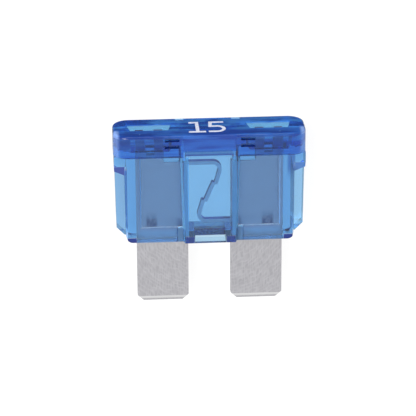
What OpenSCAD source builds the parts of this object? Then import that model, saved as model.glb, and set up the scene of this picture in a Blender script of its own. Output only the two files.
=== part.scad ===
// Automotive blade fuse, standard size, rated 15 A.
// One stamped metal element (two blades joined by a fusible link) sits in one
// transparent moulded housing. The fuse lies on its back: X runs across the two
// blades, Y from the blade tips to the head, and Z is the thickness.

/* [Blades] */
// Width of each blade
blade_w = 5.15; // [4.7:0.05:5.5]
// Thickness of the metal strip
blade_t = 0.65; // [0.5:0.05:0.9]
// Distance between the centre lines of the two blades
blade_pitch = 9.4; // [9.1:0.05:10.1]
// Length of each blade that stands out of the housing
blade_out = 7.05; // [6:0.1:9]
// Chamfer on the corners of each tip
tip_chamfer = 0.62; // [0.3:0.02:0.9]
// Length of the bevel pressed into both faces at each tip
tip_bevel_l = 0.45; // [0.2:0.05:0.8]
// Thickness left at the end of each tip
tip_t = 0.35; // [0.2:0.05:0.5]

/* [Blade shoulders and test tabs] */
// Width of the inner shoulder, where the link leaves the blade
shoulder_w = 2.45; // [2:0.05:2.8]
// Width of the inner test tab
inner_tab_w = 0.85; // [0.5:0.05:1]
// Width of the outer test tab
outer_tab_w = 0.8; // [0.5:0.05:1]
// Length of the test tabs
tab_l = 2.15; // [1.8:0.05:2.4]
// How far the tabs stay below the top of the head
tab_sink = 0.35; // [0.1:0.05:0.5]
// Slant of the notch side next to the outer tab
notch_slant = 0.25; // [0:0.05:0.4]

/* [Stake marks] */
// Width of the stake mark pressed into each blade
stake_w = 1.05; // [0.6:0.05:1.4]
// Length of the stake mark
stake_l = 1.0; // [0.6:0.05:1.4]
// Depth of the stake mark at its lower edge
stake_d = 0.16; // [0.05:0.01:0.2]
// Distance from the outer edge of the blade to the mark
stake_inset = 0.95; // [0.6:0.05:1.6]
// Distance from the underside of the housing to the mark
stake_rise = 1.1; // [0.6:0.05:1.6]

/* [Fusible link] */
// Width of the link strip
link_w = 0.37; // [0.3:0.01:0.5]
// How far each face of the link lies below the face of the blades
link_relief = 0.02; // [0.02:0.01:0.15]
// Distance between the centre lines of its two runs
link_l = 6.2; // [5.6:0.1:6.8]
// Centre line radius of the two round bends
bend_r = 0.72; // [0.5:0.02:0.8]
// Distance from the middle of the fuse to each bend centre
bend_x = 0.32; // [0.2:0.02:0.4]
// Lean of the two outer legs, in degrees
leg_lean = 16; // [8:1:20]
// Length of each outer leg
leg_l = 1.42; // [1.2:0.02:1.5]
// Lean of the middle leg, in degrees
mid_lean = 23; // [18:1:26]
// Length of the middle leg
mid_l = 2.16; // [2.1:0.02:2.5]

/* [Head] */
// Width of the head
head_w = 19.0; // [18.5:0.1:20]
// Thickness of the head
head_t = 5.1; // [4.8:0.1:6]
// Length of the head
head_l = 2.3; // [2:0.05:3]
// Corner radius of the head, seen from the end
head_r = 1.6; // [1:0.1:2.2]
// Rounding of the top edge
head_edge_r = 0.3; // [0.1:0.05:0.5]

/* [Head grooves] */
// Number of short grooves beside each window, on the front
groove_n = 2; // [1:1:2]
// Distance from the underside of the head to the first groove
groove_rise = 0.95; // [0.4:0.05:1]
// Distance from one groove to the next
groove_pitch = 0.7; // [0.4:0.05:0.8]
// Width of each groove
groove_w = 0.24; // [0.1:0.02:0.3]
// Depth of each groove
groove_d = 0.5; // [0.2:0.05:0.6]
// Length of each groove
groove_l = 1.4; // [0.8:0.1:1.6]
// Distance from the link chamber to the grooves
groove_margin = 0.3; // [0.1:0.05:0.5]

/* [Body] */
// Length of the body from its underside to the head
body_l = 9.15; // [9:0.05:11]
// Plastic on each face of a blade
face_wall = 1.6; // [1.2:0.05:1.8]
// Plastic beside the outer edge of a blade, at the underside
edge_wall = 1.1; // [0.7:0.05:1.4]
// How much further the body reaches to each side where it meets the head
body_draft = 0.06; // [0:0.02:0.2]
// How much narrower each side of the body is at its faces than at the fins
side_slope = 0.24; // [0.1:0.02:0.3]
// Radius of the two lower corners
body_r = 0.7; // [0.3:0.1:1]
// Clearance around the metal in its slots
slot_gap = 0.04; // [0.02:0.01:0.1]

/* [Link chamber] */
// Step from each face of the head down to the chamber
chamber_step = 0.05; // [0.05:0.05:0.4]
// Wall in front of and behind the link
chamber_face_wall = 1.35; // [1:0.05:1.5]
// Flat face beside the chamber, at the underside
chamber_wall = 0.35; // [0.1:0.05:0.6]
// Width of each sloped side of the chamber
chamber_flank = 0.22; // [0.1:0.02:0.6]
// How far each blade stands into the chamber, at its floor
chamber_lap = 0.02; // [0.02:0.01:0.1]
// Draft on the sides of the chamber, in degrees
chamber_draft = 1.6; // [0.4:0.2:2]
// Height of the pocket open at the underside
pocket_l = 0.68; // [0.4:0.02:0.8]
// Width of that pocket
pocket_w = 3.05; // [2:0.05:3.6]
// Wall in front of and behind the pocket
pocket_wall = 0.7; // [0.4:0.05:1.2]
// Floor between the pocket and the chamber
floor_l = 0.35; // [0.3:0.05:0.8]
// Room between the floor and the link
link_room = 0.46; // [0.1:0.01:0.6]
// Roof of the chamber below the underside of the head
roof_drop = 0.2; // [0.1:0.05:0.6]

/* [Face recesses] */
// Depth of the shallow recess over each blade
recess_d = 0.1; // [0.06:0.02:0.3]
// Rim between the recess and the outer side of the body
recess_rim = 1.55; // [1:0.05:2]
// Rim between the recess and the underside
recess_foot = 1.65; // [1:0.05:2.4]

/* [Grips] */
// Length of the shoulders under the head, on their faces
grip_l = 1.0; // [0.6:0.05:1.4]
// Length of the shoulders where they end on the fins, next to the body
grip_foot = 2.4; // [2.3:0.05:3]
// How much shorter each shoulder ends at the outer edge of its fin
grip_slope = 0.75; // [0.3:0.05:0.9]
// Inset of each shoulder from the side of the head
grip_inset = 0.06; // [0.02:0.02:0.2]
// Thickness of the side fins
fin_t = 2.1; // [1.2:0.1:2.6]
// How much narrower each fin is at its lower end
fin_taper = 0.15; // [0:0.05:0.3]
// Distance from the underside to the lower end of each fin
fin_rise = 0.55; // [0.3:0.05:1]
// Chamfer on the lower corner of each fin
fin_chamfer = 0.8; // [0.4:0.05:0.9]

/* [Test windows] */
// Width of each window in the head
window_w = 4.45; // [3.9:0.05:4.7]
// Thickness of each window
window_t = 1.75; // [1.4:0.05:2.2]
// How much narrower each end of a window is at its front edge
window_slant = 0.35; // [0:0.05:0.4]
// Distance from the notch between the tabs up to the window floor
window_rise = 0.45; // [0.1:0.05:0.6]
// Distance from the outer edge of the blade to the window end
window_over = 0.85; // [0.4:0.05:1]

/* [Hidden] */
$fn = 64;
// Overlap that lets a cut run clear through a face
eps = 0.05;
// Overlap where two stretches of the link join
lap = 0.02;

// Through the fuse
slot_t = blade_t + 2 * slot_gap;
link_t = blade_t - 2 * link_relief;
body_t = slot_t + 2 * face_wall;
chamber_t = head_t - 2 * chamber_step;
cavity_t = chamber_t - 2 * chamber_face_wall;

// Across the fuse
blade_in = (blade_pitch - blade_w) / 2;
blade_outer = (blade_pitch + blade_w) / 2;
shoulder_x = blade_in + shoulder_w;
chamber_in = blade_in + chamber_lap;
chamber_w = 2 * (chamber_in + chamber_wall);
chamber_foot_w = chamber_w + 2 * chamber_flank;
body_w = 2 * (blade_outer + edge_wall);
head_foot_w = body_w + 2 * body_draft;
face_x = head_foot_w / 2 - side_slope;
window_x1 = blade_outer + window_over;
window_x0 = window_x1 - window_w;

// Along the fuse, from the blade tips
head_y = blade_out + body_l;
total_l = head_y + head_l;
cavity_y0 = blade_out + pocket_l + floor_l;
cavity_y1 = head_y - roof_drop;
link_y0 = cavity_y0 + link_room + link_w / 2;
link_y1 = link_y0 + link_l;
link_mid = (link_y0 + link_y1) / 2;
shoulder_y = link_y1 + link_w / 2;
tab_y1 = total_l - tab_sink;
tab_y0 = tab_y1 - tab_l;
window_y0 = tab_y0 + window_rise;

// Lays a shape drawn from the blade tips down on its back, centred
module at_rest() {
    translate([0, -total_l / 2, head_t / 2]) children();
}

// The shape and its mirror image on the other blade
module both_sides() {
    for (side = [0, 1]) mirror([side, 0, 0]) children();
}

// A flat outline given thickness about the middle plane
module slab(t) {
    translate([0, 0, -t / 2]) linear_extrude(t) children();
}

// A box centred across the thickness
module bar(x0, x1, y0, y1, t) {
    translate([x0, y0, -t / 2]) cube([x1 - x0, y1 - y0, t]);
}

// Straight piece of the link between two points of its centre line
module strip(from, to) {
    along = to - from;
    translate(from)
        rotate(atan2(along[1], along[0]))
            translate([0, -link_w / 2])
                square([norm(along), link_w]);
}

// Round bend of the link, turned clockwise from straight up
module bend(centre, sweep) {
    translate(centre)
        intersection() {
            difference() {
                circle(bend_r + link_w / 2);
                circle(bend_r - link_w / 2);
            }
            // Fan that keeps the swept part
            polygon([[0, 0], for (i = [0:4]) 4 * bend_r * [sin(sweep * i / 4), cos(sweep * i / 4)]]);
        }
}

// Upper half of the link: a run from the blade, a bend and the outer leg
module half_link() {
    turn = 90 + leg_lean;
    centre = [bend_x, link_l / 2 - bend_r];
    leg_top = centre + bend_r * [sin(turn), cos(turn)];
    lean = [sin(leg_lean), cos(leg_lean)];
    strip([-blade_in - shoulder_w / 2, link_l / 2], [bend_x + lap, link_l / 2]);
    bend(centre, turn);
    strip(leg_top + lap * lean, leg_top - leg_l * lean);
}

// Whole link, the same when turned half a turn about its middle
module link_outline() {
    mid = mid_l / 2 * [sin(mid_lean), cos(mid_lean)];
    translate([0, link_mid]) {
        half_link();
        rotate(180) half_link();
        strip(-mid, mid);
    }
}

// Outline of one blade with its shoulder and its two test tabs
module blade_outline() {
    tab_x0 = shoulder_x + inner_tab_w;
    tab_x1 = blade_outer - outer_tab_w;
    polygon([
        [blade_in, tip_chamfer],
        [blade_in + tip_chamfer, 0],
        [blade_outer - tip_chamfer, 0],
        [blade_outer, tip_chamfer],
        [blade_outer, tab_y1],
        [tab_x1, tab_y1],
        [tab_x1 - notch_slant, tab_y0],
        [tab_x0, tab_y0],
        [tab_x0, tab_y1],
        [shoulder_x, tab_y1],
        [shoulder_x, shoulder_y],
        [blade_in, shoulder_y]
    ]);
}

// Wedge that bevels one face of the tips
module tip_bevel() {
    drop = (blade_t - tip_t) / 2;
    rotate([90, 0, 90])
        linear_extrude(2 * (blade_outer + eps), center = true)
            polygon([
                [-eps, blade_t / 2 + eps],
                [-eps, tip_t / 2 - eps * drop / tip_bevel_l],
                [tip_bevel_l + eps, blade_t / 2 + eps * drop / tip_bevel_l],
                [tip_bevel_l + eps, blade_t / 2 + eps]
            ]);
}

// Wedge pressed into one face of a blade, deepest at its lower edge
module stake_mark() {
    y0 = blade_out + stake_rise;
    translate([blade_outer - stake_inset - stake_w, 0, 0])
        rotate([90, 0, 90])
            linear_extrude(stake_w)
                polygon([
                    [y0, blade_t / 2 - stake_d],
                    [y0 + stake_l, blade_t / 2],
                    [y0 + stake_l, blade_t / 2 + eps],
                    [y0, blade_t / 2 + eps]
                ]);
}

// One stamped strip: two blades and the link between them
module fuse_element() {
    color([0.72, 0.72, 0.74])
        at_rest()
            difference() {
                union() {
                    both_sides() slab(blade_t) blade_outline();
                    slab(link_t) link_outline();
                }
                for (face = [0, 1]) mirror([0, 0, face]) {
                    tip_bevel();
                    both_sides() stake_mark();
                }
            }
}

// Half of the head's section: straight side with a rounded top edge
module head_edge(reach) {
    square([reach, head_l - head_edge_r]);
    square([reach - head_edge_r, head_l]);
    translate([reach - head_edge_r, head_l - head_edge_r]) circle(head_edge_r);
}

// Head: round corners joined by straight sides, with the top edge rounded
module head_block() {
    cx = head_w / 2 - head_r;
    cz = head_t / 2 - head_r;
    translate([0, head_y, 0])
        rotate([-90, 0, 0]) {
            for (x = [-cx, cx], z = [-cz, cz])
                translate([x, z, 0])
                    rotate_extrude() head_edge(head_r);
            for (side = [0, 1]) {
                mirror([side, 0, 0])
                    rotate([90, 0, 0])
                        linear_extrude(2 * cz, center = true) head_edge(head_w / 2);
                mirror([0, side, 0])
                    rotate([90, 0, 90])
                        linear_extrude(2 * cx, center = true) head_edge(head_t / 2);
            }
        }
}

// Outline of the body, with its two rounded lower corners
module body_outline() {
    y0 = blade_out + body_r;
    for (side = [-1, 1])
        translate([side * (body_w / 2 - body_r), y0]) circle(body_r);
    polygon([
        [-body_w / 2, y0],
        [-body_w / 2 + body_r, y0],
        [-body_w / 2 + body_r, blade_out],
        [body_w / 2 - body_r, blade_out],
        [body_w / 2 - body_r, y0],
        [body_w / 2, y0],
        [head_foot_w / 2, head_y],
        [head_foot_w / 2, head_y + eps],
        [-head_foot_w / 2, head_y + eps],
        [-head_foot_w / 2, head_y]
    ]);
}

// Body with sides that slope in from the fins to its two faces
module body_block() {
    intersection() {
        slab(body_t) body_outline();
        rotate([90, 0, 0])
            linear_extrude(2 * total_l, center = true)
                polygon([
                    [-face_x, -body_t / 2],
                    [face_x, -body_t / 2],
                    [head_foot_w / 2, -fin_t / 2],
                    [head_foot_w / 2, fin_t / 2],
                    [face_x, body_t / 2],
                    [-face_x, body_t / 2],
                    [-head_foot_w / 2, fin_t / 2],
                    [-head_foot_w / 2, -fin_t / 2]
                ]);
    }
}

// Shoulder under each end of the head, its underside sloped down to the fin
module grip() {
    x0 = face_x - eps;
    x1 = head_w / 2 - grip_inset;
    foot_y = head_y - grip_foot;
    intersection() {
        slab(body_t)
            polygon([
                [x0, head_y + eps],
                [x1, head_y + eps],
                [x1, foot_y + grip_slope],
                [x0, foot_y]
            ]);
        rotate([90, 0, 90])
            linear_extrude(head_w)
                polygon([
                    [head_y + eps, -body_t / 2],
                    [head_y + eps, body_t / 2],
                    [head_y - grip_l, body_t / 2],
                    [foot_y, fin_t / 2],
                    [foot_y, -fin_t / 2],
                    [head_y - grip_l, -body_t / 2]
                ]);
    }
}

// Thin fin down each side of the body
module fin_outline() {
    x0 = body_w / 2;
    x1 = head_w / 2 - grip_inset;
    y0 = blade_out + fin_rise;
    polygon([
        [x0 - eps, head_y - grip_l],
        [x1 - eps, head_y - grip_l],
        [x1 - fin_taper, y0 + fin_chamfer],
        [x1 - fin_taper - fin_chamfer, y0],
        [x0 - eps, y0]
    ]);
}

// Shallow recess over one blade, with two edges sloped at 45 degrees
module face_recess() {
    x0 = chamber_w / 2;
    x1 = body_w / 2 - recess_rim;
    y0 = blade_out + recess_foot;
    z0 = body_t / 2 - recess_d;
    intersection() {
        translate([0, head_y + eps, 0])
            rotate([90, 0, 0])
                linear_extrude(body_l)
                    polygon([
                        [x0, z0],
                        [x1, z0],
                        [x1 + recess_d + eps, z0 + recess_d + eps],
                        [x0, z0 + recess_d + eps]
                    ]);
        rotate([90, 0, 90])
            linear_extrude(body_w)
                polygon([
                    [y0, z0],
                    [head_y + eps, z0],
                    [head_y + eps, z0 + recess_d + eps],
                    [y0 - recess_d - eps, z0 + recess_d + eps]
                ]);
    }
}

// Solid as deep as the chamber block, with one drafted side sloped down to the recess
module chamber_side() {
    foot_z = body_t / 2 - recess_d;
    translate([chamber_w / 2, blade_out, 0])
        rotate(-chamber_draft)
            rotate([90, 0, 0])
                linear_extrude(2 * total_l, center = true)
                    polygon([
                        [-2 * chamber_w, -chamber_t / 2],
                        [0, -chamber_t / 2],
                        [chamber_flank, -foot_z],
                        [chamber_flank, foot_z],
                        [0, chamber_t / 2],
                        [-2 * chamber_w, chamber_t / 2]
                    ]);
}

// Block round the link, wider towards the head
module chamber_block() {
    intersection() {
        chamber_side();
        mirror([1, 0, 0]) chamber_side();
        bar(-chamber_foot_w, chamber_foot_w, blade_out, head_y + eps, chamber_t);
    }
}

// Hollow in which the link hangs, wider towards the head
module chamber_hollow() {
    roof_in = chamber_in + (cavity_y1 - cavity_y0) * tan(chamber_draft);
    slab(cavity_t)
        polygon([
            [-chamber_in, cavity_y0],
            [chamber_in, cavity_y0],
            [roof_in, cavity_y1],
            [-roof_in, cavity_y1]
        ]);
}

// Pocket under the chamber, open at the underside
module foot_pocket() {
    bar(-pocket_w / 2, pocket_w / 2, blade_out - eps, blade_out + pocket_l, chamber_t - 2 * pocket_wall);
}

// Slot that takes one blade, its shoulder and the foot of its tabs
module blade_slot() {
    bar(blade_in - slot_gap, blade_outer + slot_gap,
        blade_out - eps, shoulder_y + slot_gap, slot_t);
    bar(shoulder_x - slot_gap, blade_outer + slot_gap,
        shoulder_y, window_y0 + eps, slot_t);
}

// Window in the head, open at the top, through which the tabs are reached
module test_window() {
    translate([0, total_l + eps, 0])
        rotate([90, 0, 0])
            linear_extrude(total_l + eps - window_y0)
                polygon([
                    [window_x0, -window_t / 2],
                    [window_x1, -window_t / 2],
                    [window_x1 - window_slant, window_t / 2],
                    [window_x0 + window_slant, window_t / 2]
                ]);
}

// Short grooves across the front of the head, between the chamber and one window
module head_grooves() {
    x0 = chamber_foot_w / 2 + groove_margin;
    for (i = [0:groove_n - 1])
        translate([x0, head_y + groove_rise + i * groove_pitch, head_t / 2 - groove_d])
            cube([groove_l, groove_w, groove_d + eps]);
}

// One transparent moulding: head, body, link chamber and grips
module housing() {
    color([0.25, 0.55, 0.9, 0.6])
        at_rest()
            difference() {
                union() {
                    difference() {
                        body_block();
                        for (face = [0, 1]) mirror([0, 0, face])
                            both_sides() face_recess();
                    }
                    head_block();
                    chamber_block();
                    both_sides() {
                        grip();
                        slab(fin_t) fin_outline();
                    }
                }
                chamber_hollow();
                foot_pocket();
                both_sides() {
                    blade_slot();
                    test_window();
                    head_grooves();
                }
            }
}

housing();
fuse_element();
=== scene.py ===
import math

import bmesh
import bpy
from mathutils import Matrix, Vector


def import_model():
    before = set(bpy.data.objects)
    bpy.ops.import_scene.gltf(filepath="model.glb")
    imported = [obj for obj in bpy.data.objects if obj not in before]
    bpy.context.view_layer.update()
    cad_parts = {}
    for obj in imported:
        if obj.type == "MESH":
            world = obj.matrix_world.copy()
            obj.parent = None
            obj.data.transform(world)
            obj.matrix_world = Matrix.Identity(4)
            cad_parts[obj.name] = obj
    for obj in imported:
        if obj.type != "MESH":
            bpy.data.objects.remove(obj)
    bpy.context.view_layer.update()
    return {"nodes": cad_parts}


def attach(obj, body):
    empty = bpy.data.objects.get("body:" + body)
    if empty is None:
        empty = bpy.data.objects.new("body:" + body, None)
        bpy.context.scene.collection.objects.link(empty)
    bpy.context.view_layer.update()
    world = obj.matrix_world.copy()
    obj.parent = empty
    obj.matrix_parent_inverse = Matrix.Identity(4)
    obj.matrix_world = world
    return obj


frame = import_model()
scene = bpy.context.scene
MM = 0.001

# The fuse lies on its back: x runs across it, y along it to the head end, z up through it

# Camera, fitted to the corners of the photographed fuse, which stands on its blades there
AZIMUTH = -3.576
ELEVATION = 22.238
ROLL = -0.287
DISTANCE = 239.3 * MM
FOCAL_PX = 2396.4
IMAGE_PX = 416
SENSOR = 36.0
AIM = (-0.104 * MM, 0.524 * MM, 2.55 * MM)
CLIP_START = 0.01
CLIP_END = 10.0

# Places along the fuse, from its middle, in millimetres
HEAD_END = 9.25
WINDOW_FLOOR = 7.2
HEAD_FOOT = 6.95
CHAMBER_ROOF = 6.75
GRIP_FOOT = 5.95
RECESS_FOOT = -0.55
CHAMBER_FLOOR = -1.17
POCKET_ROOF = -1.52
BODY_FOOT = -2.2
TIP_LINE = -8.85

# Height of the middle plane, and faces in front of it, in millimetres
MIDDLE = 2.55
FIN_FACE = 1.05
RECESS_FACE = 1.865
BODY_FACE = 1.965
CHAMBER_FACE = 2.5
HEAD_FACE = 2.55

# Reach within which a point counts as lying on a face, in millimetres
ON_FACE = 0.03

# Places to each side of the fuse's middle, in millimetres
POCKET_SIDE = 1.6
LINK_SIDE = 2.1
BLADE_INNER = 2.125
CHEEK_MIDDLE = 2.38
CHAMBER_SIDE = 2.75
FLANK_MIDDLE = 2.8
GROOVE_INNER = 2.7
GROOVE_OUTER = 5.2
WINDOW_INNER = 3.6
WINDOW_OUTER = 8.2
STAKE_MIDDLE = 5.78
RECESS_SIDE = 6.875
FOOT_SIDE = 7.28
GRIP_SIDE = 8.4
HEAD_CORNER = 9.15

# Moulding: tint and share of light let through where nothing else is said
PLASTIC_TINT = (0.9, 0.97, 1.0)
PLASTIC_CLEAR = 0.98
# Places on it in the order they are laid on: mask, tint or pattern, and how milky it is. The
# comments in the table say which tints are painted shade, painted light and painted reflections.
PLASTIC_PLACES = (
    # Painted shade on the head, banded like the light mirrored inside it, darker low on its
    # front
    ("head", "deep", 0.1),
    ("head_low", "deeper", 0.0),
    # Top of the head: a mottled painted reflection
    ("top", "top_reflection", 0.4),
    # Darkest painted shade on the head's middle and along its front top edge
    ("heart", "darkest_shade", 0.3),
    ("lip", "darkest_shade", 0.35),
    # Painted light in the windows, lighter than the head's painted shade
    ("window", (0.3, 0.72, 0.99), 0.0),
    # Painted shade at the head's two ends
    ("end", (0.26, 0.42, 0.86), 0.25),
    # Painted shade on the chamber's roof, cheeks and sloping walls, front and back, and in dark
    # bands on the grooves in the head's front beside the chamber
    ("ceiling", (0.35, 0.7, 1.0), 0.1),
    ("cheek", (0.14, 0.46, 0.9), 0.3),
    ("flank", (0.25, 0.6, 0.95), 0.45),
    ("groove", (0.04, 0.07, 0.36), 0.7),
    ("rear", (0.3, 0.6, 0.95), 0.85),
    # Darker on the left fin and in a patch on the right grip's front
    ("fin", (0.66, 0.74, 0.84), 0.0),
    ("grip_patch", (0.22, 0.26, 0.5), 0.0),
    # Painted shade under and beside the grips, on the recess rim and on the body's lower outer
    # slopes
    ("neck", (0.2, 0.5, 0.85), 0.6),
    ("under", "under_grip_shade", 0.8),
    ("side", (0.08, 0.22, 0.6), 0.6),
    ("rim", (0.15, 0.34, 0.68), 0.75),
    ("toe", (0.2, 0.45, 0.85), 0.6),
    # Painted shade along the foot, in its corners, on the shins and on the legs beside the
    # pocket
    ("foot", (0.6, 0.72, 0.95), 0.0),
    ("shin", (0.13, 0.29, 0.52), 0.0),
    ("corner", (0.01, 0.03, 0.21), 0.75),
    ("legs", (0.05, 0.1, 0.42), 0.3),
    # Painted shade in the pocket, speckled on its roof and on the bar, on the shelf, and on the
    # chamber floor's ledge, which is also milky and mottled
    ("pocket", (0.58, 0.77, 0.9), 0.0),
    ("roof", "speckled_shade", 0.93),
    ("ledge", "dapple_and_shade", 0.4),
    ("shelf", (0.08, 0.26, 0.75), 0.0),
    ("bar", "speckled_shade", 0.45),
)

# Strip: tints of the bare blades, and of what is seen through the moulding, with painted light,
# painted shade and a painted highlight among them
METAL_DARK = (0.475, 0.47, 0.5)
METAL_LIGHT = (0.6, 0.595, 0.625)
METAL_TIP = (0.85, 0.85, 0.86)
# Painted light on the strip inside the housing, brighter and pinker, most near its foot
METAL_HOUSED_LIGHT = (0.82, 0.65, 0.71)
METAL_FOOT_LIGHT = (0.95, 0.86, 0.9)
# Painted shade in the stake dents
METAL_DENT_SHADE = (0.22, 0.19, 0.32)
METAL_LINK = (0.58, 0.68, 0.84)
# Painted shade on the link's upward faces
METAL_LINK_UP_SHADE = (0.34, 0.4, 0.95)
# Painted highlight along the blades' inner edges inside the housing
METAL_INNER_HIGHLIGHT = (0.8, 0.92, 1.0)

# Floor: its size in metres, and the air between it and the fuse
FLOOR_SIZE = 4.0
FLOOR_GAP = 0.03 * MM
# Brightness of the floor seen straight, through the plastic and through the chamber, where a
# painted pool of light makes it brighter
FLOOR_STRAIGHT = 0.88
FLOOR_THROUGH = 0.8
FLOOR_POOL_UNDER_CHAMBER = 0.9
# Brightness for light that was mirrored on its way, painted shade save for patches of painted
# light, and the share left beyond the head
FLOOR_TURNED = 0.2
FLOOR_AWAY = 0.3
# Colour that takes the shadow, and colour that lights the fuse from below
FLOOR_SHADE = 0.2
FLOOR_PLAIN = (0.8, 0.8, 0.8, 1.0)

# Brightness of the room overhead, and towards the head end of the fuse
ROOM_BRIGHT = 1.0
ROOM_DIM = 0.45

# Soft edges: their width, and the gap within which two points are one
EDGE_WIDTH = 0.04 * MM
WELD_GAP = 0.001 * MM
# Angle below which two faces are one, and above which an edge is softened
FLAT_ANGLE = math.radians(0.5)
SHARP_ANGLE = math.radians(30)

# Printed rating, in millimetres on the head end: stroke, thickness, and the digits' ends
STROKE = 0.34
INK = 0.02
DIGIT_FOOT = 4.28
DIGIT_TOP = 1.36


class Nodes:
    """Node tree of a material or world, with short calls for the nodes used here."""

    def __init__(self, owner):
        owner.use_nodes = True
        self.tree = owner.node_tree
        self.tree.nodes.clear()

    def link(self, source, target):
        """Links an output to an input."""
        self.tree.links.new(source, target)

    def add(self, kind, **values):
        """Adds a node and sets its sockets or properties by name."""
        node = self.tree.nodes.new(kind)
        for name, value in values.items():
            socket = node.inputs.get(name.replace("_", " "))
            if socket is not None:
                socket.default_value = value
            else:
                setattr(node, name, value)
        return node

    def math(self, operation, a, b=None):
        """Result of a math node on two sockets or numbers."""
        node = self.add("ShaderNodeMath", operation=operation)
        for socket, value in zip(node.inputs, (a, b)):
            if value is None:
                continue
            if isinstance(value, (int, float)):
                socket.default_value = value
            else:
                self.link(value, socket)
        return node.outputs[0]

    def product(self, *values):
        """Product of several sockets or numbers."""
        result = values[0]
        for value in values[1:]:
            result = self.math("MULTIPLY", result, value)
        return result

    def most(self, *values):
        """Largest of several sockets."""
        result = values[0]
        for value in values[1:]:
            result = self.math("MAXIMUM", result, value)
        return result

    def step(self, value, start, end, low=0.0, high=1.0):
        """Smooth step from low to high while the value goes from start to end."""
        node = self.add("ShaderNodeMapRange", interpolation_type="SMOOTHSTEP")
        self.link(value, node.inputs["Value"])
        node.inputs["From Min"].default_value = start
        node.inputs["From Max"].default_value = end
        node.inputs["To Min"].default_value = low
        node.inputs["To Max"].default_value = high
        return node.outputs["Result"]

    def near(self, value, centre, reach):
        """One where the value lies within reach of the centre, zero elsewhere."""
        off = self.math("ABSOLUTE", self.math("SUBTRACT", value, centre))
        return self.math("LESS_THAN", off, reach)

    def blend(self, fac, a, b):
        """Colour between two colours, each a tuple or a socket."""
        node = self.add("ShaderNodeMix", data_type="RGBA")
        self.link(fac, node.inputs["Factor"])
        colours = [i for i in node.inputs if i.type == "RGBA"]
        for socket, value in zip(colours, (a, b)):
            if isinstance(value, tuple):
                socket.default_value = (*value, 1.0)
            else:
                self.link(value, socket)
        return [o for o in node.outputs if o.type == "RGBA"][0]

    def place(self):
        """Place on the object in millimetres: the vector and its three parts."""
        coords = self.add("ShaderNodeTexCoord")
        scale = self.add("ShaderNodeVectorMath", operation="SCALE", Scale=1 / MM)
        split = self.add("ShaderNodeSeparateXYZ")
        self.link(coords.outputs["Object"], scale.inputs[0])
        self.link(scale.outputs["Vector"], split.inputs[0])
        return scale.outputs["Vector"], split.outputs

    def noise(self, vector, size, detail, stretch=None):
        """Noise between 0 and 1, its grains about size millimetres long."""
        if stretch is not None:
            mapping = self.add("ShaderNodeMapping", Scale=stretch)
            self.link(vector, mapping.inputs["Vector"])
            vector = mapping.outputs["Vector"]
        node = self.add("ShaderNodeTexNoise", Scale=1 / size, Detail=detail)
        self.link(vector, node.inputs["Vector"])
        return node.outputs["Fac"]


def material(name):
    """New material: itself, its nodes and its output."""
    mat = bpy.data.materials.new(name)
    n = Nodes(mat)
    return mat, n, n.add("ShaderNodeOutputMaterial")


def camera():
    """Camera over the head end, which looks down on the fuse as the photograph shows it."""
    data = bpy.data.cameras.new("camera")
    data.sensor_width = SENSOR
    data.lens = FOCAL_PX / IMAGE_PX * SENSOR
    data.clip_start = CLIP_START
    data.clip_end = CLIP_END
    cam = bpy.data.objects.new("camera", data)
    scene.collection.objects.link(cam)
    turned = (
        Matrix.Rotation(math.radians(-90), 4, "X")
        @ Matrix.Rotation(math.radians(AZIMUTH), 4, "Z")
        @ Matrix.Rotation(math.radians(90 - ELEVATION), 4, "X")
    )
    back = (turned @ Vector((0, 0, 1))).normalized()
    cam.matrix_world = (
        Matrix.Translation(Vector(AIM) + back * DISTANCE)
        @ turned
        @ Matrix.Rotation(math.radians(ROLL), 4, "Z")
    )
    scene.camera = cam


def head_masks(n, across, ahead, depth, y):
    """Masks of the head's places: one inside a place and zero outside it."""
    centre = n.step(across, CHAMBER_SIDE, CHAMBER_SIDE - 0.2)
    top = n.step(y, HEAD_END - 0.25, HEAD_END - 0.02)
    outer = n.most(n.step(depth, 1.1, 1.4), top)
    collar = n.product(centre, n.step(y, HEAD_FOOT + 0.6, HEAD_FOOT + 0.5))
    head = n.product(n.step(y, HEAD_FOOT - 0.06, HEAD_FOOT + 0.04), outer)
    head = n.math("SUBTRACT", head, n.product(head, collar))
    return {
        "head": head,
        "head_low": n.product(head, n.step(y, HEAD_END - 0.5, HEAD_FOOT + 1.1)),
        "top": top,
        "heart": n.product(
            centre,
            n.step(ahead, CHAMBER_FACE - 0.2, CHAMBER_FACE),
            n.step(y, HEAD_FOOT + 0.6, HEAD_FOOT + 0.8),
        ),
        "lip": n.product(
            n.step(ahead, 0.8, 1.2),
            n.step(y, HEAD_END - 0.4, HEAD_END - 0.3),
        ),
        "window": n.product(
            n.step(across, WINDOW_INNER, WINDOW_INNER + 0.2),
            n.step(across, WINDOW_OUTER, WINDOW_OUTER - 0.2),
            n.step(ahead, 0.1 - CHAMBER_FACE, -CHAMBER_FACE),
            n.step(y, WINDOW_FLOOR, WINDOW_FLOOR + 0.1),
        ),
        "end": n.product(
            head,
            n.step(across, HEAD_CORNER - 0.4, HEAD_CORNER),
            n.step(ahead, 0.5, 1.0),
        ),
        "groove": n.product(
            n.step(ahead, HEAD_FACE - 0.4, HEAD_FACE - 0.35),
            n.step(ahead, HEAD_FACE - 0.02, HEAD_FACE - 0.04),
            n.step(across, GROOVE_INNER, GROOVE_INNER + 0.2),
            n.step(across, GROOVE_OUTER, GROOVE_OUTER - 0.2),
            n.step(y, HEAD_FOOT + 0.1, HEAD_FOOT + 0.2),
            n.step(y, HEAD_END - 0.2, HEAD_END - 0.3),
        ),
    }


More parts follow.
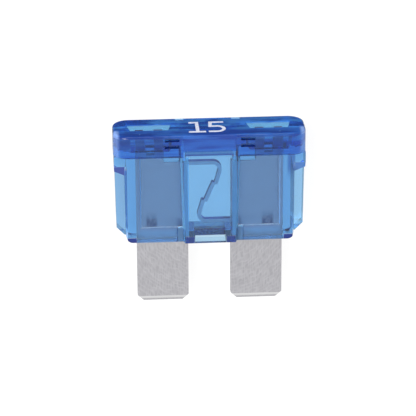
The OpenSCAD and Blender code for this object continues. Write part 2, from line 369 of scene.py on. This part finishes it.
def chamber_masks(n, across, ahead, depth, y):
    """Masks of the link chamber's walls, of its floor and of the pocket under it."""
    front = n.step(ahead, RECESS_FACE - 0.05, RECESS_FACE - 0.02)
    middle = n.product(n.step(across, 2.2, 2.1), n.step(depth, 1.85, 1.75))
    ledge = n.product(middle, n.near(y, CHAMBER_FLOOR, ON_FACE))
    return {
        "ceiling": n.product(
            n.step(across, CHAMBER_SIDE, CHAMBER_SIDE - 0.2),
            n.step(depth, 1.25, 1.2),
            n.near(y, CHAMBER_ROOF, ON_FACE),
        ),
        "cheek": n.product(
            n.near(across, CHEEK_MIDDLE, 0.24),
            n.step(ahead, CHAMBER_FACE - 0.1, CHAMBER_FACE - 0.05),
            n.step(y, HEAD_FOOT + 0.1, HEAD_FOOT),
            n.step(y, BODY_FOOT + 0.7, BODY_FOOT + 0.8),
        ),
        "flank": n.product(
            n.near(across, FLANK_MIDDLE, 0.42),
            n.step(ahead, RECESS_FACE + 0.01, RECESS_FACE + 0.03),
            n.step(ahead, CHAMBER_FACE - 0.02, CHAMBER_FACE - 0.04),
            n.step(y, HEAD_FOOT + 0.9, HEAD_FOOT + 0.8),
        ),
        "rear": n.product(
            n.near(across, FLANK_MIDDLE, 0.42),
            n.step(ahead, -RECESS_FACE - 0.01, -RECESS_FACE - 0.03),
            n.step(ahead, 0.01 - CHAMBER_FACE, 0.03 - CHAMBER_FACE),
        ),
        "shin": n.product(front, n.near(across, 2.9, 0.4), n.step(y, -0.7, -0.8)),
        "legs": n.product(
            front,
            n.near(across, 2.0, 0.45),
            n.step(y, BODY_FOOT + 0.75, BODY_FOOT + 0.65),
        ),
        "pocket": n.product(
            n.step(across, POCKET_SIDE + 0.02, POCKET_SIDE - 0.02),
            n.step(y, POCKET_ROOF - 0.02, POCKET_ROOF - 0.05),
        ),
        "roof": n.product(
            middle,
            n.near(y, POCKET_ROOF, ON_FACE),
            n.step(ahead, -0.25, -0.15),
        ),
        "ledge": ledge,
        "shelf": n.product(ledge, n.step(across, POCKET_SIDE - 0.2, POCKET_SIDE)),
        "bar": n.product(
            ledge,
            n.step(ahead, 0.6, 0.7),
            n.step(across, POCKET_SIDE + 0.06, POCKET_SIDE),
        ),
    }


def body_masks(n, x, across, ahead, depth, y):
    """Masks of the body's grips, fins, recess rim and foot."""
    below_head = n.step(y, HEAD_FOOT + 0.1, HEAD_FOOT)
    slope = n.product(
        n.step(ahead, FIN_FACE + 0.01, FIN_FACE + 0.05),
        n.step(ahead, BODY_FACE - 0.01, BODY_FACE - 0.03),
        n.step(across, GRIP_SIDE - 0.25, GRIP_SIDE - 0.22),
    )
    front = n.step(ahead, RECESS_FACE - 0.05, RECESS_FACE - 0.02)
    return {
        "fin": n.product(
            n.step(x, -GRIP_SIDE - 0.02, -GRIP_SIDE - 0.06),
            n.step(depth, FIN_FACE + 0.02, FIN_FACE),
            n.step(y, GRIP_FOOT, GRIP_FOOT - 0.1),
        ),
        # A darker patch on the right grip's front
        "grip_patch": n.product(
            n.step(ahead, 1.5, 1.8),
            n.step(x, GRIP_SIDE - 0.9, GRIP_SIDE - 0.6),
            n.step(x, GRIP_SIDE + 0.1, GRIP_SIDE - 0.1),
            n.step(y, 3.8, 5.6),
            below_head,
        ),
        "neck": n.product(slope, n.step(y, GRIP_FOOT - 0.1, GRIP_FOOT), below_head),
        "under": n.product(
            slope,
            n.step(y, GRIP_FOOT + 0.02, GRIP_FOOT - 0.02),
            n.step(across, GRIP_SIDE - 0.04, GRIP_SIDE + 0.04),
        ),
        "side": n.product(
            slope,
            n.step(y, GRIP_FOOT - 0.3, GRIP_FOOT - 0.6),
            n.step(across, GRIP_SIDE + 0.06, GRIP_SIDE),
        ),
        "rim": n.product(
            n.near(across, RECESS_SIDE, 0.06),
            n.step(ahead, RECESS_FACE, RECESS_FACE + 0.02),
            n.step(ahead, BODY_FACE + 0.03, BODY_FACE + 0.01),
            n.step(y, RECESS_FOOT - 0.1, RECESS_FOOT),
        ),
        "toe": n.product(
            n.step(depth, FIN_FACE + 0.01, FIN_FACE + 0.05),
            n.step(depth, BODY_FACE - 0.01, BODY_FACE - 0.03),
            n.step(across, 7.2, 7.4),
            n.step(y, -0.6, -0.9),
        ),
        "foot": n.product(
            front,
            n.step(y, BODY_FOOT + 0.45, BODY_FOOT + 0.38),
            n.step(across, 3.25, 3.35),
            n.step(across, FOOT_SIDE + 0.07, FOOT_SIDE),
        ),
        "corner": n.product(
            front,
            n.step(y, BODY_FOOT + 0.56, BODY_FOOT + 0.46),
            n.step(across, FOOT_SIDE, FOOT_SIDE + 0.07),
        ),
    }


def plastic_patterns(n, vector, x, across):
    """Streaked, mottled, speckled and wedge-shaped painted shade for the moulding, and a mottled
    painted reflection for its top, by name.
    """
    mottle = n.noise(vector, size=0.9, detail=3.0)
    # Bands for the head's painted shade and painted reflection, stretched across the fuse
    stretched_noise = n.noise(vector, size=0.45, detail=3.0, stretch=(0.12, 1.0, 0.6))
    reflection_bands = n.step(stretched_noise, 0.38, 0.62)
    patchy = n.math("ADD", n.product(mottle, 0.6), n.product(reflection_bands, 0.4))
    specks = n.noise(vector, size=0.16, detail=2.0, stretch=(1.0, 1.0, 0.4))
    # Specks for the speckled painted shade
    speckle_mask = n.product(n.step(across, 1.3, 1.2), n.step(specks, 0.5, 0.58))
    return {
        # Painted shade for the head, banded; a painted reflection for its top; mottled and
        # speckled painted shade for the chamber's floor, the pocket's roof and the bar; painted
        # shade under the grips
        "deep": n.blend(reflection_bands, (0.04, 0.17, 0.5), (0.09, 0.33, 0.7)),
        "deeper": n.blend(reflection_bands, (0.035, 0.15, 0.62), (0.065, 0.27, 0.76)),
        "darkest_shade": n.blend(reflection_bands, (0.015, 0.06, 0.33), (0.03, 0.13, 0.5)),
        "top_reflection": n.blend(n.step(patchy, 0.3, 0.7), (0.025, 0.12, 0.62), (0.08, 0.34, 0.97)),
        "dapple_and_shade": n.blend(n.step(mottle, 0.35, 0.65), (0.2, 0.5, 0.95), (0.45, 0.78, 1.0)),
        "speckled_shade": n.blend(speckle_mask, (0.03, 0.055, 0.28), (0.1, 0.2, 0.62)),
        "under_grip_shade": n.blend(n.step(x, -1.0, 1.0), (0.03, 0.065, 0.34), (0.06, 0.2, 0.55)),
    }


def clear_plastic():
    """Transparent blue moulding: clear body, painted shade on the head, and places with painted
    shade and painted light.

    A face that mirrors the light inside the moulding shows no tint of its own, so such a
    face is made partly milky, and its tint then shows as it is written.
    """
    mat, n, out = material("clear_blue_plastic")
    vector, (x, y, z) = n.place()
    across = n.math("ABSOLUTE", x)
    ahead = n.math("SUBTRACT", z, MIDDLE)
    depth = n.math("ABSOLUTE", ahead)
    masks = {
        **head_masks(n, across, ahead, depth, y),
        **chamber_masks(n, across, ahead, depth, y),
        **body_masks(n, x, across, ahead, depth, y),
    }
    patterns = plastic_patterns(n, vector, x, across)

    colour, clear = PLASTIC_TINT, PLASTIC_CLEAR
    for place, tint, milk in PLASTIC_PLACES:
        colour = n.blend(masks[place], colour, patterns.get(tint, tint))
        if milk:
            clear = n.math("SUBTRACT", clear, n.product(masks[place], milk))

    skin = n.add("ShaderNodeBsdfPrincipled", Roughness=0.02, IOR=1.5)
    n.link(colour, skin.inputs["Base Color"])
    n.link(n.math("MAXIMUM", clear, 0.0), skin.inputs["Transmission Weight"])
    n.link(skin.outputs["BSDF"], out.inputs["Surface"])
    inside = n.add("ShaderNodeVolumeAbsorption", Color=(0.08, 0.6, 0.915, 1.0), Density=560.0)
    n.link(inside.outputs["Volume"], out.inputs["Volume"])
    return mat


def plated_metal():
    """Satin plated strip, scuffed on the blades; inside the housing it has painted light,
    painted shade in the stake dents and on the link's upward faces, and a painted highlight on
    the blades' inner edges.
    """
    mat, n, out = material("tin_plated_metal")
    vector, (x, y, _) = n.place()
    across = n.math("ABSOLUTE", x)
    housed = n.step(y, BODY_FOOT, BODY_FOOT + 0.2)

    fine = n.noise(vector, size=0.12, detail=3.0, stretch=(1.0, 0.12, 1.0))
    scuff = n.noise(vector, size=0.7, detail=4.0)
    wave = n.add("ShaderNodeTexWave", wave_type="RINGS", rings_direction="SPHERICAL",
                 Scale=0.85, Distortion=9.0, Detail=3.0, Detail_Scale=1.1)
    n.link(vector, wave.inputs["Vector"])
    rings = n.step(wave.outputs["Fac"], 0.3, 1.0)
    marks = n.product(rings, scuff, n.step(y, BODY_FOOT, BODY_FOOT - 0.5))

    tip = n.product(
        n.step(y, TIP_LINE + 0.12, TIP_LINE + 0.06),
        n.step(y, TIP_LINE - 0.25, TIP_LINE - 0.1),
    )
    # Painted light on the strip near the housing's foot
    low = n.product(housed, n.step(y, BODY_FOOT + 1.1, BODY_FOOT + 0.5))
    # Painted shade in the stake dents, uneven and fading upwards
    dent_shade_noise = n.noise(vector, size=0.5, detail=2.0, stretch=(1.3, 0.7, 1.0))
    stake = n.product(
        n.step(n.math("ABSOLUTE", n.math("SUBTRACT", across, STAKE_MIDDLE)), 0.7, 0.4),
        n.step(y, -1.2, -1.0),
        n.step(y, 0.8, -0.8),
        n.step(dent_shade_noise, 0.3, 0.65, 0.45, 1.0),
    )
    # Painted shade where the link's faces turn upwards
    facing = n.add("ShaderNodeSeparateXYZ")
    n.link(n.add("ShaderNodeTexCoord").outputs["Normal"], facing.inputs[0])
    strip = n.product(n.step(across, LINK_SIDE + 0.1, LINK_SIDE), housed)
    link_up_shade = n.product(strip, n.step(facing.outputs["Y"], 0.2, 0.6))
    # Painted highlight on the blades' inner edges
    edge = n.product(n.near(across, BLADE_INNER, 0.03), housed)

    colour = n.blend(n.step(fine, 0.25, 0.75), METAL_DARK, METAL_LIGHT)
    # Over the grain and scuffs: painted light inside the housing and near its foot, painted
    # shade in the stake dents and on the link's upward faces, a painted highlight on the blades'
    # inner edges
    for mask, tint in (
        (n.step(marks, 0.1, 0.8), METAL_LIGHT),
        (tip, METAL_TIP),
        (housed, METAL_HOUSED_LIGHT),
        (low, METAL_FOOT_LIGHT),
        (stake, METAL_DENT_SHADE),
        (strip, METAL_LINK),
        (link_up_shade, METAL_LINK_UP_SHADE),
        (edge, METAL_INNER_HIGHLIGHT),
    ):
        colour = n.blend(mask, colour, tint)

    skin = n.add("ShaderNodeBsdfPrincipled", Metallic=1.0)
    n.link(colour, skin.inputs["Base Color"])
    n.link(n.step(scuff, 0.2, 0.8, 0.3, 0.46), skin.inputs["Roughness"])
    bump = n.add("ShaderNodeBump", Strength=0.07, Distance=0.02 * MM)
    n.link(marks, bump.inputs["Height"])
    n.link(bump.outputs["Normal"], skin.inputs["Normal"])
    n.link(skin.outputs["BSDF"], out.inputs["Surface"])
    return mat


def white_ink():
    """Matt white print, a little uneven."""
    mat, n, out = material("white_ink")
    vector, _ = n.place()
    worn = n.step(n.noise(vector, size=0.15, detail=3.0), 0.35, 0.7)
    skin = n.add("ShaderNodeBsdfPrincipled", Roughness=0.55)
    n.link(n.blend(worn, (0.66, 0.7, 0.88), (0.9, 0.92, 1.0)), skin.inputs["Base Color"])
    n.link(skin.outputs["BSDF"], out.inputs["Surface"])
    return mat


def floor_light_pools(n, across, y):
    """Mask of the floor's patches of painted light, which mirrored light meets close to the
    fuse.
    """
    beside_foot = n.product(n.step(across, 2.2, 2.7), n.step(y, -0.4, -1.2))
    under_pocket = n.product(n.step(across, 1.6, 1.4), n.step(y, 0.8, 0.3))
    over_chamber = n.product(
        n.step(across, 2.7, 2.5), n.step(y, 6.5, 6.7), n.step(y, 8.4, 7.8), 0.7,
    )
    outside = n.product(n.step(across, 6.5, 6.8), n.step(y, 9.4, 8.9), 0.6)
    beyond = n.product(
        n.step(across, 2.8, 3.1), n.step(y, 6.4, 6.8), n.step(y, 9.4, 9.1), 0.25,
    )
    below_notch = n.product(
        n.step(across, 2.8, 3.1), n.step(across, 5.2, 4.9),
        n.step(y, 6.0, 6.3), n.step(y, 7.3, 7.0), 0.85,
    )
    return n.most(beside_foot, under_pocket, over_chamber, outside, beyond, below_notch)


def floor_material():
    """Plain white to the camera, straight or through the plastic, with a soft shadow.

    To light that was mirrored on its way it is darker, as painted shade, apart from a few
    patches of painted light, and under the chamber a painted pool of light makes it brighter.
    All other light meets a plain pale colour.
    """
    mat, n, out = material("floor_white")
    path = n.add("ShaderNodeLightPath")
    turned = n.math("GREATER_THAN", path.outputs["Glossy Depth"], 0.5)
    _, (x, y, _) = n.place()
    across = n.math("ABSOLUTE", x)

    # Painted shade for mirrored light, with patches of painted light, darker still beyond the
    # head
    mirrored = n.step(floor_light_pools(n, across, y), 0.0, 1.0, FLOOR_TURNED, FLOOR_THROUGH)
    mirrored = n.product(mirrored, n.step(y, 9.1, 9.5, 1.0, FLOOR_AWAY))
    # Painted pool of light on the floor under the chamber
    chamber = n.product(
        n.step(across, 2.6, 2.4), n.step(y, 7.0, 6.5), n.step(y, -2.4, -1.6),
    )
    level = n.add("ShaderNodeMix", data_type="FLOAT")
    n.link(turned, level.inputs[0])
    n.link(n.step(chamber, 0.0, 1.0, FLOOR_THROUGH, FLOOR_POOL_UNDER_CHAMBER), level.inputs[2])
    n.link(mirrored, level.inputs[3])

    gain = n.product(path.outputs["Is Camera Ray"], FLOOR_STRAIGHT - FLOOR_THROUGH)
    glow = n.add("ShaderNodeEmission")
    n.link(n.math("ADD", level.outputs[0], gain), glow.inputs["Strength"])
    shade = n.add("ShaderNodeBsdfDiffuse")
    n.link(n.step(turned, 0.0, 1.0, FLOOR_SHADE, 0.0), shade.inputs["Color"])
    both = n.add("ShaderNodeAddShader")
    n.link(shade.outputs[0], both.inputs[0])
    n.link(glow.outputs[0], both.inputs[1])

    plain = n.add("ShaderNodeBsdfDiffuse", Color=FLOOR_PLAIN)
    seen = [path.outputs["Is " + kind + " Ray"] for kind in ("Camera", "Glossy", "Transmission")]
    mix = n.add("ShaderNodeMixShader")
    n.link(n.most(*seen), mix.inputs[0])
    n.link(plain.outputs[0], mix.inputs[1])
    n.link(both.outputs[0], mix.inputs[2])
    n.link(mix.outputs[0], out.inputs["Surface"])
    return mat


def world():
    """White backdrop, with a room that is dimmer towards the head end of the fuse."""
    studio = bpy.data.worlds.new("studio")
    n = Nodes(studio)
    coords = n.add("ShaderNodeTexCoord")
    split = n.add("ShaderNodeSeparateXYZ")
    n.link(coords.outputs["Generated"], split.inputs[0])
    room = n.add("ShaderNodeBackground")
    n.link(n.step(split.outputs["Y"], 0.05, 0.6, ROOM_BRIGHT, ROOM_DIM), room.inputs["Strength"])
    backdrop = n.add("ShaderNodeBackground", Strength=1.0)
    mix = n.add("ShaderNodeMixShader")
    n.link(n.add("ShaderNodeLightPath").outputs["Is Camera Ray"], mix.inputs[0])
    n.link(room.outputs[0], mix.inputs[1])
    n.link(backdrop.outputs[0], mix.inputs[2])
    out = n.add("ShaderNodeOutputWorld")
    n.link(mix.outputs[0], out.inputs["Surface"])
    scene.world = studio


def lamp(name, place, width, length, power):
    """Rectangular soft box that shines on the fuse."""
    data = bpy.data.lights.new(name, "AREA")
    data.shape = "RECTANGLE"
    data.size = width
    data.size_y = length
    data.energy = power
    lit = bpy.data.objects.new(name, data)
    scene.collection.objects.link(lit)
    lit.location = place
    lit.rotation_euler = Vector(place).to_track_quat("Z", "Y").to_euler()


def floor():
    """Plain floor, a hair below the fuse so that its back face keeps its inner reflections."""
    bpy.ops.mesh.primitive_plane_add(size=FLOOR_SIZE, location=(0, 0, -FLOOR_GAP))
    plane = bpy.context.object
    plane.name = "floor"
    plane.data.materials.append(floor_material())


def dress(node, mat):
    """Gives a CAD node its material and soft edges."""
    piece = frame["nodes"][node]
    piece.data.materials.clear()
    piece.data.materials.append(mat)
    weld = piece.modifiers.new("weld", "WELD")
    weld.merge_threshold = WELD_GAP
    flat = piece.modifiers.new("flat", "DECIMATE")
    flat.decimate_type = "DISSOLVE"
    flat.angle_limit = FLAT_ANGLE
    bevel = piece.modifiers.new("bevel", "BEVEL")
    bevel.width = EDGE_WIDTH
    bevel.segments = 2
    bevel.limit_method = "ANGLE"
    bevel.angle_limit = SHARP_ANGLE
    bevel.harden_normals = True


def arc(cx, cy, rx, ry, start, end, steps=14):
    """Points of an elliptic arc, angles in degrees."""
    angles = [math.radians(start + (end - start) * i / steps) for i in range(steps + 1)]
    return [(cx + rx * math.cos(a), cy + ry * math.sin(a)) for a in angles]


def ribbon(points, width):
    """Outline of a stroke of the given width along a centre line."""
    sides = ([], [])
    for i, p in enumerate(points):
        here = Vector(p)
        before = (here - Vector(points[i - 1])).normalized() if i else None
        after = (Vector(points[i + 1]) - here).normalized() if i + 1 < len(points) else None
        ahead = ((before or after) + (after or before)).normalized()
        normal = Vector((-ahead.y, ahead.x))
        reach = width / 2 / max(0.5, ahead.dot(after or before))
        sides[0].append(here + normal * reach)
        sides[1].append(here - normal * reach)
    return sides[0] + sides[1][::-1]


def digit_outlines():
    """Outlines of a one with a foot and a flag, and of a five, up being the digit's top."""
    h = DIGIT_FOOT - DIGIT_TOP
    s = STROKE
    left, flag, stem, right = -2.03, -1.95, -0.98, -0.36
    one = [
        (left, 0), (right, 0), (right, s), (stem, s), (stem, h), (flag, h),
        (flag, h - s), (stem - s, h - s), (stem - s, s), (left, s),
    ]
    tail, neck_foot, neck_top, bar_end = -0.08, 0.12, 0.2, 1.5
    bowl_x, bowl_reach, bowl_rise = 0.75, 0.72, h * 0.29
    five = [(bar_end, h - s / 2), (neck_top, h - s / 2), (neck_foot, h * 0.56)]
    five += arc(bowl_x, bowl_rise + s * 0.2, bowl_reach, bowl_rise - s * 0.3, 80, -90)
    five += [(tail, s / 2)]
    return [one, [tuple(p) for p in ribbon(five, s)]]


def printed_rating():
    """Fifteen printed across the middle of the head end, its top towards the back."""
    mesh = bpy.data.meshes.new("rating_15")
    bm = bmesh.new()
    for outline in digit_outlines():
        ring = [
            bm.verts.new((px * MM, HEAD_END * MM, (DIGIT_FOOT - py) * MM))
            for px, py in outline
        ]
        face = bm.faces.new(ring)
        raised = bmesh.ops.extrude_face_region(bm, geom=[face])
        moved = [v for v in raised["geom"] if isinstance(v, bmesh.types.BMVert)]
        bmesh.ops.translate(bm, verts=moved, vec=(0, INK * MM, 0))
    bmesh.ops.recalc_face_normals(bm, faces=bm.faces)
    bmesh.ops.triangulate(bm, faces=bm.faces)
    bm.to_mesh(mesh)
    bm.free()
    mesh.materials.append(white_ink())
    piece = bpy.data.objects.new("rating_15", mesh)
    scene.collection.objects.link(piece)
    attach(piece, "root")


scene.view_settings.view_transform = "Standard"
camera()
world()
floor()
lamp("key", place=(-0.28, 0.16, 0.44), width=0.3, length=0.3, power=2.0)
lamp("strip", place=(0.0, 0.5, 0.21), width=0.5, length=0.08, power=0.5)
dress("housing", clear_plastic())
dress("fuse_element", plated_metal())
printed_rating()
